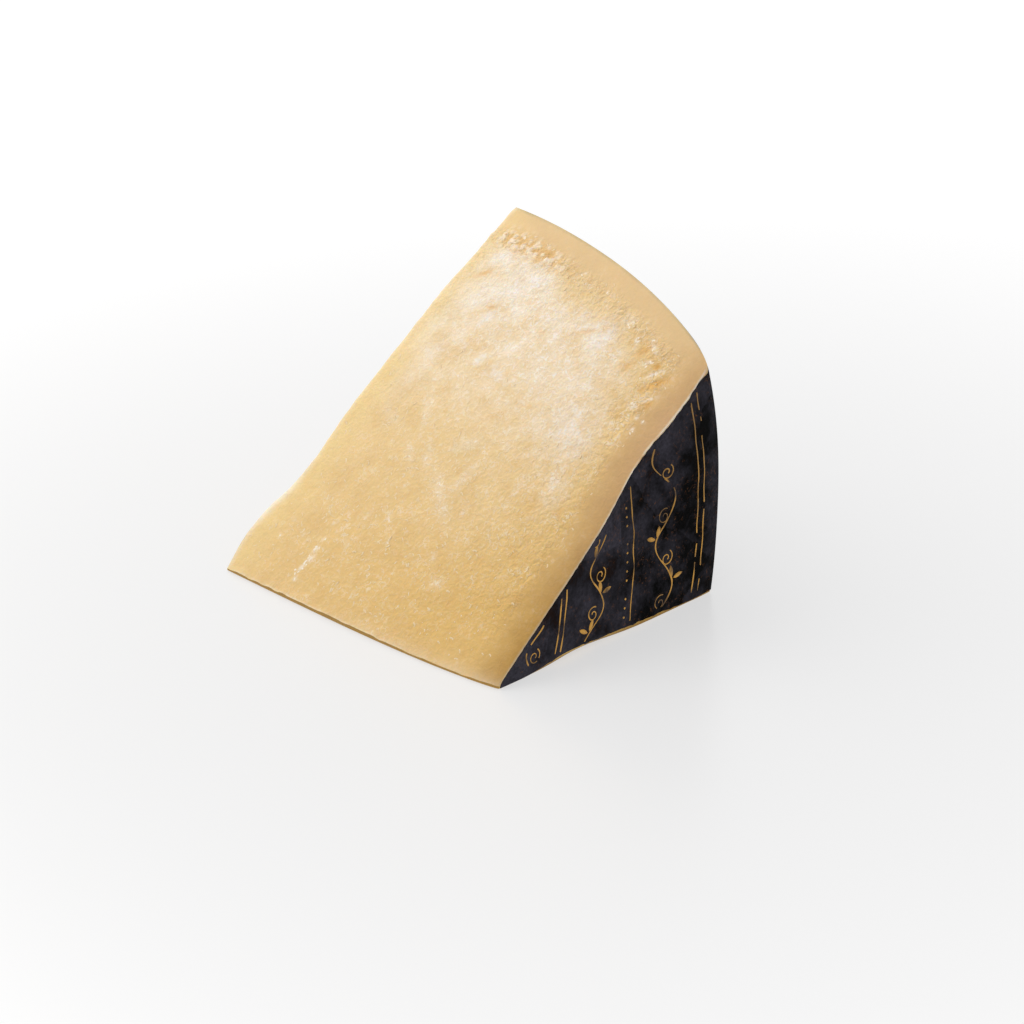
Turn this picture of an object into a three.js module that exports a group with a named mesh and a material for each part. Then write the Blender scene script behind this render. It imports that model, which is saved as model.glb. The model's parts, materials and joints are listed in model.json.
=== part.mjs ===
// A chunk of hard grating cheese, cut from a large bulged drum with a thin dark coat on its rind.
// It rests on one cut face. The thin edge runs along X, the drum's flat rind face stands at +X,
// its curved rim at +Y, and the upper cut slopes up from the thin edge to the rim.
// Millimetres, +Z up, with the origin under the middle of the chunk's box.
import * as THREE from 'three';
import { SimplexNoise } from 'three/addons/math/SimplexNoise.js';
import { mergeVertices } from 'three/addons/utils/BufferGeometryUtils.js';

const { degToRad, lerp, seededRandom, smoothstep } = THREE.MathUtils;

// The drum that the chunk was cut from, placed from the inner end of the thin edge
const drumRadius = 182.2; // at the fullest line of the bulged rim
const drumAxisBack = 72; // the drum's axis lies this far behind the thin edge
const drumAxisHeight = 26.8; // and this far above the resting face
const bulgeLine = -1.6; // the fullest line, measured along the thin edge
const bulgeDrop = 23.7; // how much smaller the radius is at the flat rind face
const shoulderDrop = 2.2; // rounding of the rim where it meets the flat face
const shoulderSharpness = 24;
const flatRounding = 0.9; // rounding of the flat face where it meets the rim
const flatSharpness = 30;

// The cuts. Places across a cut are shares of the way from the thin edge to the rim.
const thinEdgeLength = 105; // from the inner cut to the flat rind face
const thinEdgeBow = 2.6; // how far the thin edge bows out
const thinEdgeSkew = 1.58; // moves the bow towards the rind
const thinEdgeFullness = 0.6; // below 1 the bow is blunt, as a knife leaves it
const bluntHeight = 1.1; // the thin edge is a narrow blunt face
const bluntRun = 0.6; // that leans under by this much
const upperCutAngle = degToRad(39.4); // slope of the upper cut
const innerLeanTop = 12.6; // how far the inner cut leans in at the rim, up on the upper cut
const innerLeanFoot = 6; // and down on the resting face
const innerBow = 2.3; // outward bow of the inner cut
const innerBowSkew = 1.37; // moves that bow towards the rim
const footFlare = 2.6; // ragged swelling of the inner cut near the thin edge
const footFlareAt = 0.086;
const footFlareWidth = 0.069;
const rindDent = 2.1; // shallow dent in the flat rind face, deepest at the upper cut
const rindDentAt = 0.68;
const rindDentWidth = 0.13;

// Surface unevenness
const reliefSeed = 7;
const cutWave = 14; // size of the slow waves that the knife leaves
const cutDepth = 0.25;
const crumbSize = 6; // broken grains of the paste
const crumbDepth = 0.5;
const innerCrumbShare = 0.5; // the inner cut broke less than the upper cut
const firmBand = 10; // smooth firm paste just under the rind
const firmBandBlur = 3;
const crumbFade = 28; // the grains grow shallower over this distance from the firm band
const reliefStart = 0.08; // relief fades in from the thin edge over this share
const rindWave = 26;
const rindDepth = 0.3;

// Steps along the thin edge, from the thin edge to the rim, and up the rim
const stepsAlong = 40;
const stepsDeep = 40;
const stepsUp = 18;
const usualDepth = 95; // from the thin edge to the rim
const bluntShare = bluntRun / usualDepth;

const pasteColour = 0xe3c48c;
const pasteRoughness = 0.6;

seededRandom(reliefSeed);
const noise = new SimplexNoise({ random: () => seededRandom() });

function waves(point, size, layer) {
  return noise.noise3d(point.x / size + layer, point.y / size, point.z / size);
}

function bump(share, at, width) {
  return Math.exp(-(((share - at) / width) ** 2));
}

// The first step is the blunt face, and the others are even.
function deepShare(step) {
  return step === 0 ? 0 : lerp(bluntShare, 1, (step - 1) / (stepsDeep - 1));
}

function rimRadius(x) {
  const q = (x - bulgeLine) / (thinEdgeLength - bulgeLine);
  const shoulder = shoulderDrop * Math.max(0, q) ** shoulderSharpness;
  return drumRadius - bulgeDrop * q * q - shoulder;
}

function thinEdgeAt(x) {
  const share = Math.min(Math.max(x / thinEdgeLength, 0), 1);
  const bow = Math.max(0, Math.sin(Math.PI * share ** thinEdgeSkew));
  return -thinEdgeBow * bow ** thinEdgeFullness;
}

function innerCutAt(deep, up) {
  const lean = lerp(innerLeanFoot, innerLeanTop, up) * deep;
  const bow = innerBow * Math.sin(Math.PI * deep ** innerBowSkew);
  return lean - bow - footFlare * bump(deep, footFlareAt, footFlareWidth);
}

function flatRindAt(deep, up) {
  const dent = up * rindDent * bump(deep, rindDentAt, rindDentWidth);
  return thinEdgeLength - dent - flatRounding * deep ** flatSharpness;
}

// The rim's point at this x, from the resting face (up = 0) round the drum to the upper cut (up = 1).
function rimAt(x, up) {
  const radius = rimRadius(x);
  const fromAxis = thinEdgeAt(x) + drumAxisBack;
  const aboveAxis = bluntHeight - drumAxisHeight;
  const along = fromAxis * Math.cos(upperCutAngle) + aboveAxis * Math.sin(upperCutAngle);
  const spare = radius ** 2 - fromAxis ** 2 - aboveAxis ** 2;
  const slope = Math.sqrt(along ** 2 + spare) - along;
  const topZ = aboveAxis + slope * Math.sin(upperCutAngle);
  const footTurn = -Math.asin(drumAxisHeight / radius);
  const topTurn = Math.asin(topZ / radius);
  const turn = lerp(footTurn, topTurn, up);
  const y = radius * Math.cos(turn) - drumAxisBack;
  const z = up === 0 ? 0 : radius * Math.sin(turn) + drumAxisHeight;
  return { y, z };
}

// How rough the upper cut is: smooth in the firm band under the rind, roughest just inside it.
function crumbliness(x, rim, deep) {
  const toRim = (1 - deep) * Math.hypot(rim.y, rim.z);
  const toFlat = thinEdgeLength - x;
  const inside = Math.min(toRim, toFlat) - firmBand;
  return smoothstep(inside, -firmBandBlur, firmBandBlur) * Math.exp(-Math.max(inside, 0) / crumbFade);
}

// A point of the chunk's skin. along runs from the inner cut to the flat rind face,
// deep from the thin edge to the rim, and up from the resting face to the upper cut.
function skinPoint(along, deep, up) {
  const x = lerp(innerCutAt(deep, up), flatRindAt(deep, up), along);
  const rim = rimAt(x, up);
  const blunt = bluntHeight * lerp(Math.max(0, 1 - deep / bluntShare), 1 - deep, up);
  const smooth = new THREE.Vector3(x, lerp(thinEdgeAt(x), rim.y, deep), rim.z * deep + blunt);
  const point = smooth.clone();
  const fadeIn = smoothstep(deep, 0, reliefStart);
  if (up === 1) {
    const grains = crumbDepth * crumbliness(x, rim, deep) * waves(smooth, crumbSize, 1);
    const depth = fadeIn * (cutDepth * waves(smooth, cutWave, 0) + grains);
    point.y -= depth * Math.sin(upperCutAngle);
    point.z += depth * Math.cos(upperCutAngle);
  }
  if (along === 0) {
    const grains = crumbDepth * innerCrumbShare * waves(smooth, crumbSize, 3);
    point.x += fadeIn * (cutDepth * waves(smooth, cutWave, 2) + grains);
  }
  if (along === 1) {
    point.x += fadeIn * rindDepth * waves(smooth, rindWave, 4);
  }
  if (deep === 1) {
    point.y += rindDepth * waves(smooth, rindWave, 5);
  }
  return point;
}

const corners = [];

function addTriangle(a, b, c) {
  const pinched = a.equals(b) || b.equals(c) || c.equals(a);
  if (!pinched) {
    corners.push(a, b, c);
  }
}

// One face as a grid of skin points. Rows crossed with columns point out of the chunk.
function addFace(rows, columns, pointAt) {
  for (let row = 0; row < rows; row += 1) {
    for (let column = 0; column < columns; column += 1) {
      const near = pointAt(row, column);
      const right = pointAt(row + 1, column);
      const far = pointAt(row + 1, column + 1);
      const left = pointAt(row, column + 1);
      addTriangle(near, right, far);
      addTriangle(near, far, left);
    }
  }
}

// The resting face is one flat fan inside the lowest edges of the other faces.
function addRestingFace() {
  const border = [];
  for (let step = 1; step < stepsDeep; step += 1) {
    border.push(skinPoint(0, deepShare(step), 0));
  }
  for (let step = 0; step < stepsAlong; step += 1) {
    border.push(skinPoint(step / stepsAlong, 1, 0));
  }
  for (let step = stepsDeep; step > 1; step -= 1) {
    border.push(skinPoint(1, deepShare(step), 0));
  }
  for (let step = stepsAlong; step > 0; step -= 1) {
    border.push(skinPoint(step / stepsAlong, bluntShare, 0));
  }
  const middle = new THREE.Vector3();
  border.forEach((point) => middle.add(point));
  middle.divideScalar(border.length);
  border.forEach((point, i) => addTriangle(middle, point, border[(i + 1) % border.length]));
}

function chunkGeometry() {
  const upperCut = (along, deep) => skinPoint(along / stepsAlong, deepShare(deep), 1);
  const rim = (up, along) => skinPoint(along / stepsAlong, 1, up / stepsUp);
  const flatRind = (deep, up) => skinPoint(1, deepShare(deep), up / stepsUp);
  const innerCut = (up, deep) => skinPoint(0, deepShare(deep), up / stepsUp);
  const bluntFace = (deep, along) => skinPoint(along / stepsAlong, deepShare(deep), 0);
  addFace(stepsAlong, stepsDeep, upperCut);
  addFace(stepsUp, stepsAlong, rim);
  addFace(stepsDeep, stepsUp, flatRind);
  addFace(stepsUp, stepsDeep, innerCut);
  addFace(1, stepsAlong, bluntFace);
  addRestingFace();
  const geometry = mergeVertices(new THREE.BufferGeometry().setFromPoints(corners));
  geometry.computeBoundingBox();
  const middle = geometry.boundingBox.getCenter(new THREE.Vector3());
  geometry.translate(-middle.x, -middle.y, 0);
  geometry.computeVertexNormals();
  return geometry;
}

const paste = new THREE.MeshStandardMaterial({
  color: pasteColour,
  roughness: pasteRoughness,
  metalness: 0,
});

const chunk = new THREE.Mesh(chunkGeometry(), paste);
chunk.name = 'cheese_chunk';

const cheese = new THREE.Group();
cheese.name = 'cheese';
cheese.add(chunk);

export default cheese;
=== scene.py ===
import json
import math

import bmesh
import bpy
import numpy as np
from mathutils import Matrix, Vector
from mathutils.bvhtree import BVHTree

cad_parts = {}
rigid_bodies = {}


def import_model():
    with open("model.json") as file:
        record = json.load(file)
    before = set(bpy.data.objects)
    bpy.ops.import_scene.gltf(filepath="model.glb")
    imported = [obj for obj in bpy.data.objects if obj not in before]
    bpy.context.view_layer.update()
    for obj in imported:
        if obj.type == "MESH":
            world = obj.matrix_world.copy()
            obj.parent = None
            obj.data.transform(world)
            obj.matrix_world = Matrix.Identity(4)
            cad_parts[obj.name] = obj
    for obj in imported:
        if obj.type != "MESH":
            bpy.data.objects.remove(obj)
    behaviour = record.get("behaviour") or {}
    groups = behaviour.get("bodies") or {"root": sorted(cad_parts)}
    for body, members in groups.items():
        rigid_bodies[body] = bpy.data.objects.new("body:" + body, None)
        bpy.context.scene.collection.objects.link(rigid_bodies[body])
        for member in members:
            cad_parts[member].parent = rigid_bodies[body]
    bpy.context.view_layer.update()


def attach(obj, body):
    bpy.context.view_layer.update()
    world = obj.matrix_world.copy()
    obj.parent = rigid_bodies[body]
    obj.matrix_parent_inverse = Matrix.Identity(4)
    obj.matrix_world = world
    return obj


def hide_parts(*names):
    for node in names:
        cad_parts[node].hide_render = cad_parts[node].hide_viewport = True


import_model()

mm = 0.001


def toLinear(hexColour):
    shares = [int(hexColour[i:i + 2], 16) / 255 for i in (1, 3, 5)]
    return tuple(s / 12.92 if s <= 0.04045 else ((s + 0.055) / 1.055) ** 2.4 for s in shares) + (1.0,)


def setInputs(tree, node, inputs):
    # a node among the inputs is linked by its first output
    for name, value in inputs.items():
        if isinstance(value, bpy.types.Node):
            tree.links.new(value.outputs[0], node.inputs[name])
        elif isinstance(value, bpy.types.NodeSocket):
            tree.links.new(value, node.inputs[name])
        else:
            node.inputs[name].default_value = value


def addNode(tree, kind, inputs=None, **settings):
    node = tree.nodes.new(kind)
    for name, value in settings.items():
        setattr(node, name, value)
    setInputs(tree, node, inputs or {})
    return node


rangeSockets = ("Value", "From Min", "From Max", "To Min", "To Max")
rangeKinds = dict(RANGE={}, STRETCH=dict(clamp=False), SMOOTH=dict(interpolation_type="SMOOTHSTEP"))


def addSteps(tree, value, steps):
    # a step is its name, a range, OVER, SCALE or a math operation, then numbers, hex colours or earlier names
    for name, kind, *given in steps:
        taken = [toLinear(item) if str(item).startswith("#") else value.get(item, item) for item in given]
        if kind in rangeKinds:
            node = addNode(tree, "ShaderNodeMapRange", dict(zip(rangeSockets, taken)), **rangeKinds[kind])
        elif kind == "OVER":
            node = addNode(tree, "ShaderNodeMix", dict(zip((0, 6, 7), taken)), data_type="RGBA").outputs[2]
        elif kind == "SCALE":
            node = addNode(tree, "ShaderNodeVectorMath", dict(zip((0, "Scale"), taken)), operation=kind)
        else:
            node = addNode(tree, "ShaderNodeMath", dict(enumerate(taken)), operation=kind)
        value[name] = node


def newMaterial(name, finish):
    # finish: what is the same all over the surface
    material = bpy.data.materials.new(name)
    material.use_nodes = True
    tree = material.node_tree
    shader = tree.nodes["Principled BSDF"]
    setInputs(tree, shader, finish)
    return material, tree, shader, addNode(tree, "ShaderNodeTexCoord").outputs["Object"]


def newPiece(name, points, faces, material):
    mesh = bpy.data.meshes.new(name)
    mesh.from_pydata((np.asarray(points) * mm).tolist(), [], [list(map(int, face)) for face in faces])
    mesh.polygons.foreach_set("use_smooth", np.ones(len(mesh.polygons), bool))
    mesh.materials.append(material)
    piece = bpy.data.objects.new(name, mesh)
    bpy.context.collection.objects.link(piece)
    return piece


def newTree(name, sizes):
    # a node tree for a mesh, the identifiers of its named inputs, and their sockets inside the tree
    tree = bpy.data.node_groups.new(name, "GeometryNodeTree")
    tree.interface.new_socket("Geometry", in_out="INPUT", socket_type="NodeSocketGeometry")
    inputs = {}
    for label, kind in sizes.items():
        socket = tree.interface.new_socket(label, in_out="INPUT", socket_type="NodeSocket" + kind)
        inputs[label] = socket.identifier
    tree.interface.new_socket("Geometry", in_out="OUTPUT", socket_type="NodeSocketGeometry")
    given = addNode(tree, "NodeGroupInput")
    return tree, inputs, {label: given.outputs[label] for label in ("Geometry", *sizes)}


def applyTree(piece, tree, values):
    # runs a node tree on a piece and keeps the result as its plain mesh
    modifier = piece.modifiers.new(tree.name, "NODES")
    modifier.node_group = tree
    for identifier, value in values.items():
        modifier[identifier] = value
    depsgraph = bpy.context.evaluated_depsgraph_get()
    mesh = bpy.data.meshes.new_from_object(piece.evaluated_get(depsgraph), depsgraph=depsgraph)
    piece.modifiers.remove(modifier)
    old = piece.data
    piece.data = mesh
    bpy.data.meshes.remove(old)
    mesh.name = piece.name


# The chunk's form, in millimetres from the inner end of the thin edge, as the solid has it
chunk = dict(
    drumRadius=182.2, axisBack=72.0, axisHeight=26.8, bulgeLine=-1.6, bulgeDrop=23.7,
    shoulderDrop=1.6, shoulderSharp=28, flatRounding=0.5, flatSharp=30,
    edgeLength=105.0, edgeBow=2.6, edgeSkew=1.58, edgeFullness=0.6,
    bluntHeight=1.1, bluntShare=0.04 / 95, cutAngle=math.radians(39.4),
    bluntThin=0.4, bluntWobble=0.32, bluntWave=2.8,     # the blunt edge is uneven and thin at both ends
    bluntFull=(2, 30), bluntFade=(48, 80), bluntDeep=0.02,
    leanTop=12.6, leanFoot=6.0, innerBow=2.3, innerBowSkew=1.37,
    flare=2.6, flareAt=0.086, flareWidth=0.069,
    flake=1.25, flakeAt=0.158, flakeWidth=0.042,     # a thin flake that juts out at the upper cut
    dip=1.0, dipAt=0.302, dipWidth=0.06,           # and a shallow dip above it
    tipRound=0.8, tipSharp=70,       # the inner cut's far edge is worn round
    dent=2.1, dentAt=0.68, dentWidth=0.13,
    tuck=2.0, tuckAt=0.4, tuckWidth=0.16, tuckHeight=3.0,     # the flat face rounds under at its foot
    rindWave=26.0, rindDepth=0.3, rindFull=0.08,
    cutLength=145.0,      # along the flat rind, for wear on the coat
    coatGap=0.2,      # the paste stops this far inside the coat's outer face
    stepsAlong=250, stepsDeep=230, stepsUp=50,
)
cutSin, cutCos = math.sin(chunk["cutAngle"]), math.cos(chunk["cutAngle"])


def waves(points, size, seed):
    # smooth repeatable unevenness from -1 to 1
    place = np.asarray(points) / size + seed * 17.31
    base = np.floor(place).astype(np.int64)
    part = place - base
    part = part * part * (3 - 2 * part)
    total = np.zeros(base.shape[:-1])
    for corner in range(8):
        step = np.array([(corner >> axis) & 1 for axis in range(3)])
        cell = base + step
        mix = cell[..., 0] * 374761393 + cell[..., 1] * 668265263 + cell[..., 2] * 1440662683
        mix = mix & 0xFFFFFFFF
        mix = ((mix ^ (mix >> 13)) * 1274126177) & 0xFFFFFFFF
        level = ((mix ^ (mix >> 16)) & 0xFFFF) / 32767.5
        total += np.prod(np.where(step, part, 1 - part), axis=-1) * level
    return total - 1


def smoothStep(value, low, high):
    share = np.clip((np.asarray(value, float) - low) / (high - low), 0, 1)
    return share * share * (3 - 2 * share)


def bump(value, at, width):
    return np.exp(-((value - at) / width) ** 2)


def rimRadius(x):
    c = chunk
    q = (x - c["bulgeLine"]) / (c["edgeLength"] - c["bulgeLine"])
    shoulder = c["shoulderDrop"] * np.maximum(q, 0) ** c["shoulderSharp"]
    return c["drumRadius"] - c["bulgeDrop"] * q * q - shoulder


def thinEdgeAt(x):
    c = chunk
    share = np.clip(x / c["edgeLength"], 0, 1)
    bow = np.maximum(np.sin(np.pi * share ** c["edgeSkew"]), 0)
    return -c["edgeBow"] * bow ** c["edgeFullness"]


def innerCutAt(deep, up):
    c = chunk
    lean = (c["leanFoot"] + (c["leanTop"] - c["leanFoot"]) * up) * deep
    bow = c["innerBow"] * np.sin(np.pi * deep ** c["innerBowSkew"])
    flake = c["flake"] * bump(deep, c["flakeAt"], c["flakeWidth"])
    flake = flake - c["dip"] * bump(deep, c["dipAt"], c["dipWidth"])
    tip = c["tipRound"] * deep ** c["tipSharp"]
    return lean - bow - flake * up ** 2 - c["flare"] * bump(deep, c["flareAt"], c["flareWidth"]) + tip


def flatRindAt(deep, up):
    c = chunk
    dent = up * c["dent"] * bump(deep, c["dentAt"], c["dentWidth"])
    return c["edgeLength"] - dent - c["flatRounding"] * deep ** c["flatSharp"]


def rimTurns(x):
    # drum angles of the rim's foot and of its top edge at the upper cut
    c = chunk
    radius = rimRadius(x)
    fromAxis = thinEdgeAt(x) + c["axisBack"]
    aboveAxis = c["bluntHeight"] - c["axisHeight"]
    run = fromAxis * cutCos + aboveAxis * cutSin
    slope = np.sqrt(run ** 2 + radius ** 2 - fromAxis ** 2 - aboveAxis ** 2) - run
    return -np.arcsin(c["axisHeight"] / radius), np.arcsin((aboveAxis + slope * cutSin) / radius)


def skin(along, deep, up, gap=0.0):
    # along: inner cut to flat rind, deep: thin edge to rim, up: resting face to upper cut
    c = chunk
    along, deep, up = (np.array(a, float) for a in np.broadcast_arrays(along, deep, up))
    inner = innerCutAt(deep, up)
    x = inner + (flatRindAt(deep, up) - inner) * along
    radius = rimRadius(x)
    low, high = rimTurns(x)
    turn = low + (high - low) * up
    rimY = radius * np.cos(turn) - c["axisBack"]
    rimZ = np.where(up == 0, 0, radius * np.sin(turn) + c["axisHeight"])
    edgeY = thinEdgeAt(x)
    under = np.maximum(0, 1 - deep / c["bluntShare"])
    blunt = c["bluntHeight"] * (under + (1 - deep - under) * up)
    uneven = c["bluntWobble"] * waves(np.stack([x, 0 * x, 0 * x], -1), c["bluntWave"], 41)
    uneven -= c["bluntThin"] * (1 - smoothStep(x, *c["bluntFull"]) + smoothStep(x, *c["bluntFade"]))
    blunt += uneven * np.maximum(under, up * np.exp(-deep / c["bluntDeep"]))
    points = np.stack([x, edgeY + (rimY - edgeY) * deep, rimZ * deep + blunt], -1)
    wave = c["rindDepth"] * waves(points, c["rindWave"], 4)
    onFlat, onRim = along == 1, deep == 1
    foot = np.clip(1 - points[..., 2] / c["tuckHeight"], 0, 1) ** 2
    tuck = c["tuck"] * bump(deep, c["tuckAt"], c["tuckWidth"]) * foot
    points[..., 0] += onFlat * (wave * smoothStep(deep, 0, c["rindFull"]) - gap - tuck)
    points[..., 1] += onRim * (wave - gap)
    return points


def gridFaces(rows, columns, start):
    index = start + np.arange((rows + 1) * (columns + 1)).reshape(rows + 1, columns + 1)
    near, right, far, left = index[:-1, :-1], index[1:, :-1], index[1:, 1:], index[:-1, 1:]
    halves = np.stack([near, right, far], -1), np.stack([near, far, left], -1)
    return np.concatenate([half.reshape(-1, 3) for half in halves])


def weld(points, faces, shares):
    # joins points that coincide and drops the triangles that this pinches
    rounded = np.round(points, 4)
    _, first, inverse = np.unique(rounded, axis=0, return_index=True, return_inverse=True)
    faces = inverse.ravel()[faces]
    a, b, c = faces.T
    return points[first], faces[(a != b) & (b != c) & (c != a)], shares[first]


print("form: named sizes ready")

# Paste body. Strokes on the upper cut: x, distance up the slope, turn, half length, half width and strength.
paste = dict(
    sharpAngle=math.radians(48),
    rimBand=6.0, flatBand=8.5,        # smooth bands under the rind
    crumbFade=26.0,                   # the crumbs inside them fade over this distance
    breakAt=3.0, breakWidth=2.8,      # most broken line, measured from the bands
    chips=(
        (83.8, 102.4, 0.53, 3.2, 1.3, 0.65), (90.5, 99.1, 0.57, 1.0, 0.9, 1.0),
        (93.3, 94.1, 0.82, 4.2, 1.2, 0.8), (95.1, 88.3, 0.0, 1.9, 1.0, 0.65),
        (82.0, 96.4, 0.26, 1.8, 1.2, 0.4), (17.3, 108.6, 0.9, 2.6, 0.8, 0.55),
        (27.6, 99.3, 0.81, 1.6, 0.8, 0.5), (63.2, 102.0, 1.26, 2.6, 0.8, 0.5)),
    chipDepth=0.16,
    crystalRows=(
        (91.2, 96.9, 0.81, 2.9, 0.45, 1.0), (94.5, 89.5, 0.81, 2.1, 0.42, 1.0),
        (86.9, 98.9, 0.89, 1.4, 0.7, 0.9), (86.1, 104.0, -0.84, 2.4, 0.65, 0.8),
        (79.7, 103.9, -0.67, 1.3, 0.55, 0.9), (90.8, 86.0, -1.54, 1.8, 0.9, 0.55),
        (94.2, 83.3, -1.23, 0.6, 0.55, 1.0), (96.7, 82.8, -1.23, 0.5, 0.45, 0.8),
        (95.2, 79.8, 0.0, 0.6, 0.55, 1.0), (74.5, 109.1, 0.49, 1.2, 0.8, 0.8),
        (36.1, 118.4, 1.01, 2.4, 0.6, 0.6), (50.2, 118.0, 1.04, 1.4, 0.45, 0.6),
        (63.5, 110.8, 0.49, 0.5, 0.45, 0.6), (60.8, 115.0, 0.49, 0.5, 0.42, 0.5),
        (24.4, 15.0, 0.02, 1.1, 0.8, 1.0), (24.8, 12.1, 0.41, 1.3, 0.8, 1.0),
        (23.6, 8.7, 0.41, 1.5, 0.7, 0.85), (23.8, 5.0, 0.06, 1.0, 0.6, 0.75),
        (24.4, 24.0, -0.1, 0.5, 0.45, 0.7), (24.5, 18.5, 0.08, 0.9, 0.4, 0.5),
        (17.2, 17.6, 0.3, 0.9, 0.4, 0.45), (10.0, 15.0, 0.2, 0.5, 0.4, 0.4),
        (45.3, 24.2, 0.2, 0.6, 0.45, 0.5), (48.9, 29.3, 0.4, 0.5, 0.4, 0.5)),
    hazes=(
        (18.5, 113.5, 0.85, 5.0, 1.5, 0.9), (28.6, 95.8, 0.26, 2.2, 1.2, 0.8),
        (35.2, 83.8, 0.26, 1.8, 1.3, 0.7), (44.1, 80.9, -1.41, 3.6, 1.5, 0.7),
        (75.9, 78.7, -1.33, 3.8, 1.6, 0.8), (74.8, 71.4, -1.1, 2.6, 1.5, 0.7),
        (66.5, 105.5, 1.11, 3.2, 1.2, 0.8), (58.4, 105.9, -0.26, 1.6, 0.9, 0.6),
        (31.0, 108.5, 0.8, 9.0, 6.0, 0.45), (79.0, 72.0, -1.0, 9.0, 6.5, 0.62),
        (14.5, 92.0, 0.5, 9.0, 4.0, 0.35), (19.0, 82.0, 0.6, 5.0, 3.0, 0.35),
        (68.0, 107.5, 0.5, 3.5, 2.0, 0.45), (69.5, 103.8, 0.5, 5.5, 3.5, 0.6),
        (85.0, 55.5, -0.4, 6.0, 4.0, 0.35), (16.5, 71.0, 0.4, 7.0, 4.0, 0.3)),
    veils=(
        (29.8, 63.6, -0.43, 6.5, 1.5, 0.8), (40.2, 51.0, -0.59, 4.0, 1.5, 0.8),
        (51.6, 42.6, -0.8, 9.0, 1.8, 0.9), (50.0, 59.1, 1.0, 5.2, 1.8, 0.9),
        (55.4, 49.4, 0.31, 4.8, 1.8, 0.8), (18.4, 59.6, -1.19, 3.8, 1.8, 0.6),
        (33.3, 50.8, -0.72, 4.6, 1.2, 0.7), (68.5, 18.8, -1.18, 2.8, 1.8, 0.7),
        (62.6, 25.2, -0.33, 2.2, 1.2, 0.6), (41.1, 31.1, -0.37, 1.6, 0.9, 0.6),
        (33.6, 29.7, 0.05, 2.4, 1.2, 0.45), (32.7, 20.1, -1.05, 2.2, 0.8, 0.55),
        (74.7, 72.0, -0.3, 2.2, 1.5, 0.7), (82.3, 66.6, 0.6, 2.2, 1.2, 0.7),
        (70.0, 62.6, 0.9, 3.6, 1.1, 0.6), (82.3, 58.3, -0.5, 3.0, 1.4, 0.6),
        (73.6, 51.2, 0.03, 4.7, 0.9, 0.6), (59.8, 67.4, 1.2, 2.4, 0.9, 0.6),
        (62.1, 62.2, -1.2, 2.2, 1.0, 0.6), (62.2, 40.9, -0.4, 2.6, 1.2, 0.6)),
    streaks=22, streakSeed=9, streakTurn=-0.5, streakSway=0.25,    # other rows of flecks, drawn at random
    streakX=(6, 92), streakUp=(8, 100), streakLong=(3, 9), streakWide=(0.8, 1.8),
    waveSize=14.0, waveDepth=0.2,
    crumbSize=4.5, crumbDepth=0.12,
    grainSize=1.4, grainDepth=0.14,
    breakSize=2.2, breakDepth=0.26,
    noduleSize=2.0, noduleDepth=0.34,
    edgeRound=0.9, edgeDrop=0.2,      # crumbled edge between the two cuts
)


def bodyArrays():
    c = chunk
    along = np.linspace(0, 1, c["stepsAlong"] + 1)
    deep = np.concatenate([[0, 0.15 * c["bluntShare"]], np.linspace(c["bluntShare"], 1, c["stepsDeep"])])
    up = np.linspace(0, 1, c["stepsUp"] + 1)
    faceGrids = [                     # along, deep and up of each face, rows by columns
        (along[:, None], deep[None, :], 1.0),
        (along[None, :], 1.0, up[:, None]),
        (1.0, deep[:, None], up[None, :]),
        (0.0, deep[None, :], up[:, None]),
        (along[None, :], deep[:3, None], 0.0),
    ]
    shares, faces, count = [], [], 0
    for grid in faceGrids:
        grid = np.stack(np.broadcast_arrays(*grid), -1)
        faces.append(gridFaces(grid.shape[0] - 1, grid.shape[1] - 1, count))
        shares.append(grid.reshape(-1, 3))
        count += len(shares[-1])
    border = [(0, d, 0) for d in deep[2:-1]] + [(a, 1, 0) for a in along[:-1]]
    border += [(1, d, 0) for d in deep[:2:-1]] + [(a, deep[2], 0) for a in along[:0:-1]]
    shares.append(np.array(border))
    shares = np.concatenate(shares)
    ring = count + np.arange(len(border))
    points = skin(*shares.T, gap=c["coatGap"])
    points = np.concatenate([points, points[ring].mean(0, keepdims=True)])
    shares = np.concatenate([shares, [(0.5, 0.5, 0)]])
    hub = np.full(len(ring), len(points) - 1)
    faces.append(np.stack([hub, ring, np.roll(ring, -1)], -1))
    return weld(points, np.concatenate(faces), shares)


def strokes(x, slope, marks):
    total = np.zeros(len(x))
    for atX, atSlope, turn, long, wide, strength in marks:
        run = (slope - atSlope) * math.cos(turn) + (x - atX) * math.sin(turn)
        side = (x - atX) * math.cos(turn) - (slope - atSlope) * math.sin(turn)
        total = np.maximum(total, strength * bump(run, 0, long) * bump(side, 0, wide))
    return total


def streakMarks():
    p = paste
    draw = np.random.default_rng(p["streakSeed"])
    marks = []
    for _ in range(p["streaks"]):
        place = draw.uniform(*p["streakX"]), draw.uniform(*p["streakUp"])
        turn = draw.normal(p["streakTurn"], p["streakSway"])
        marks.append((*place, turn, draw.uniform(*p["streakLong"]), draw.uniform(*p["streakWide"]), 1.0))
    return marks


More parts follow.
